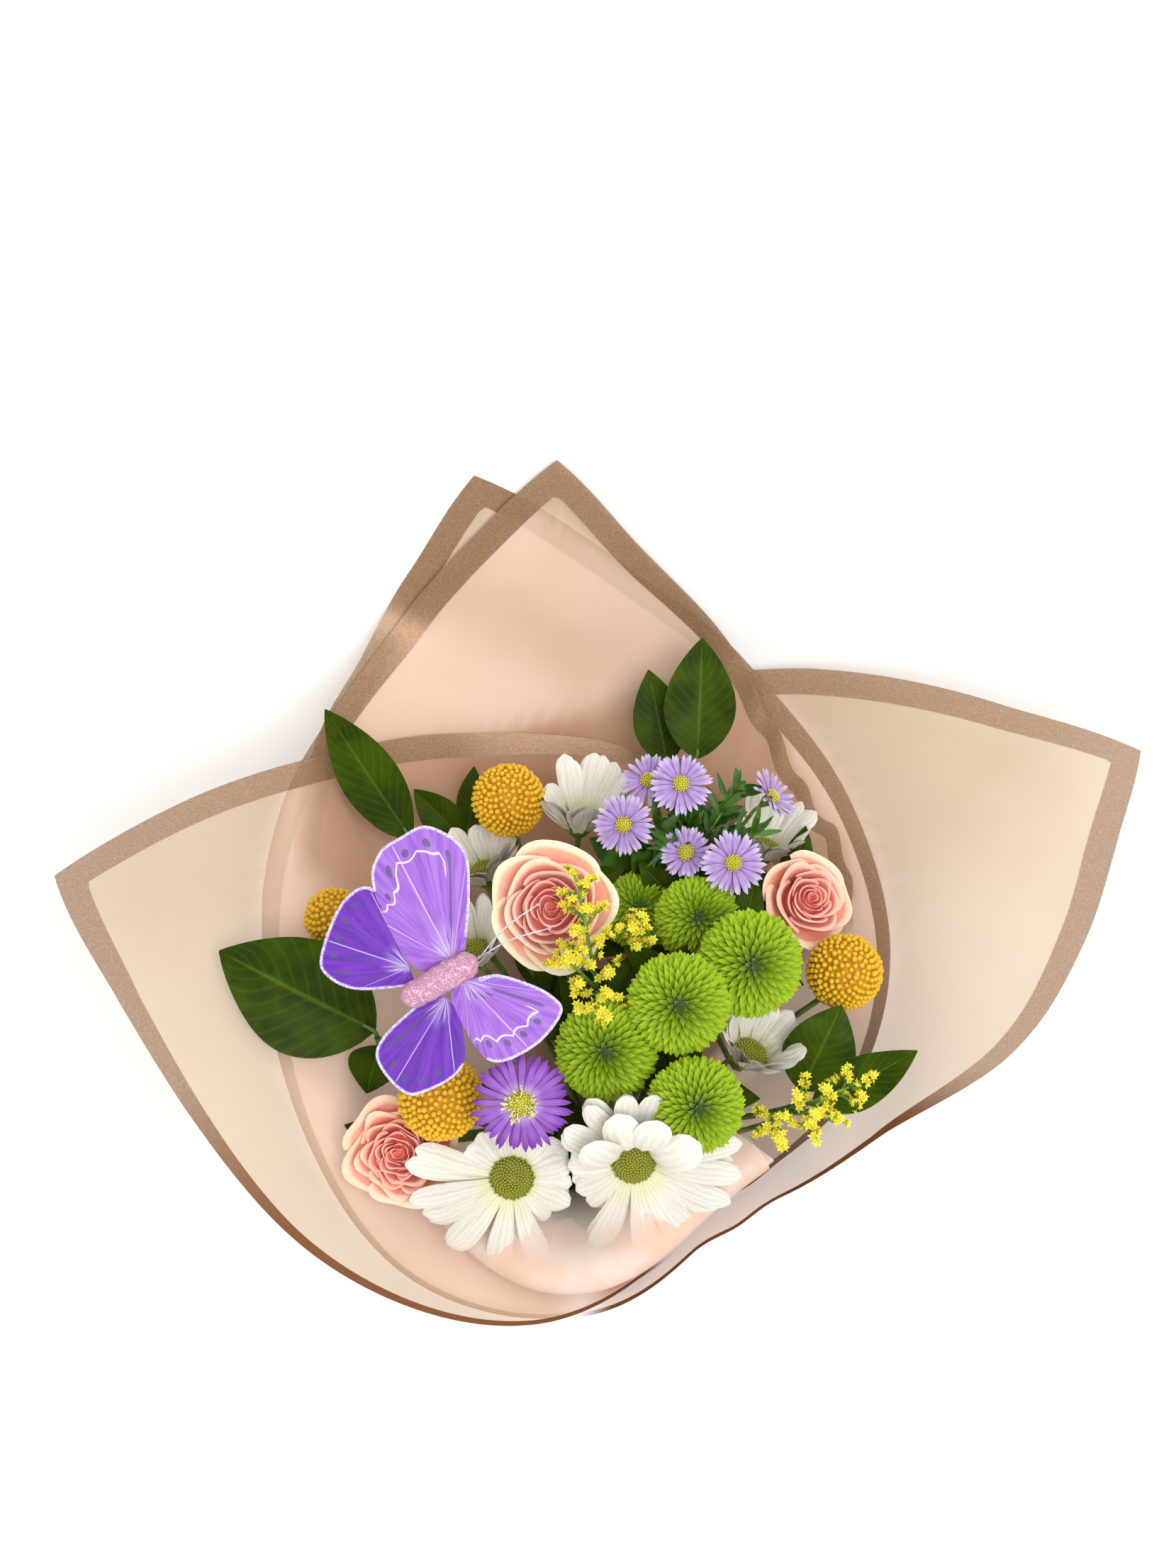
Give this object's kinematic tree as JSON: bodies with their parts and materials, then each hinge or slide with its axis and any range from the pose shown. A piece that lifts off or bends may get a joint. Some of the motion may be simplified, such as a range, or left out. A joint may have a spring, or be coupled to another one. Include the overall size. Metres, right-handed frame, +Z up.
{
  "type": "wrapped flower bouquet",
  "caption": "Hand-tied mixed flower bouquet with leaves and a glitter butterfly pick, rolled in translucent bordered film sheets and tied round the stems, lying on its back.",
  "frame": {"origin": "middle of the footprint on the surface that the bouquet lies on", "axes": "+Z up, the blooms towards -Y, the cut stems towards +Y, the wing sheets along X"},
  "size_m": [0.4358, 0.4152, 0.2386],
  "materials": {
    "film": "translucent matte cream film with a bronze glitter border",
    "frosted_film": "frosted translucent film",
    "ribbon": "satin ribbon",
    "rose_petal": "soft matte petals, peach at the heart to cream at the rim",
    "craspedia": "fine knobbed florets",
    "daisy_petal": "satin white petals",
    "daisy_green": "matte green discs and stems",
    "button_mum": "matte green scoops with dark hearts",
    "aster_petal": "soft matte petals",
    "violet_petal": "soft matte petals",
    "solidago": "downy florets",
    "stem": "smooth green stem",
    "leaf": "semi-gloss veined leaf",
    "wing": "sheer printed fabric with white glitter edge",
    "glitter_body": "glitter",
    "wire": "white painted wire"
  },
  "bodies": {
    "root": {"aster_leafy_stem": "stem", "aster_petals_1": "aster_petal", "aster_petals_2": "aster_petal", "aster_petals_3": "aster_petal", "aster_petals_4": "aster_petal", "aster_petals_5": "aster_petal", "aster_petals_6": "aster_petal", "butterfly_body": "glitter_body", "butterfly_lower_wings": "wing", "butterfly_upper_wings": "wing", "butterfly_wire": "wire", "button_mum_back": "button_mum", "button_mum_back_right": "button_mum", "button_mum_front": "button_mum", "button_mum_left": "button_mum", "button_mum_middle": "button_mum", "button_mum_right": "button_mum", "craspedia_back_left_ball": "craspedia", "craspedia_back_left_stem": "stem", "craspedia_far_left_ball": "craspedia", "craspedia_far_left_stem": "stem", "craspedia_left_ball": "craspedia", "craspedia_left_stem": "stem", "craspedia_right_ball": "craspedia", "craspedia_right_stem": "stem", "daisy_back_left_petals": "daisy_petal", "daisy_back_spray": "daisy_green", "daisy_front_left_petals": "daisy_petal", "daisy_front_right_petals": "daisy_petal", "daisy_front_spray": "daisy_green", "daisy_inner_left_petals": "daisy_petal", "daisy_left_petals": "daisy_petal", "daisy_low_right_petals": "daisy_petal", "daisy_right_petals": "daisy_petal", "daisy_right_spray": "daisy_green", "foliage_back_left_stem": "leaf", "foliage_back_middle_stem": "leaf", "foliage_back_right_stem": "leaf", "foliage_left_stem": "leaf", "foliage_right_stem": "leaf", "ribbon_band": "ribbon", "rose_centre_bloom": "rose_petal", "rose_centre_stem": "stem", "rose_left_bloom": "rose_petal", "rose_left_stem": "stem", "rose_right_bloom": "rose_petal", "rose_right_stem": "stem", "solidago_middle_sprig": "solidago", "solidago_right_sprig": "solidago", "solidago_small_sprig": "solidago", "violet_aster_petals": "violet_petal", "violet_aster_stem": "daisy_green", "wrap_back_inner_sheet": "film", "wrap_back_outer_sheet": "film", "wrap_front_liner": "frosted_film", "wrap_left_sheet": "film", "wrap_right_sheet": "film"}
  },
  "joints": []
}
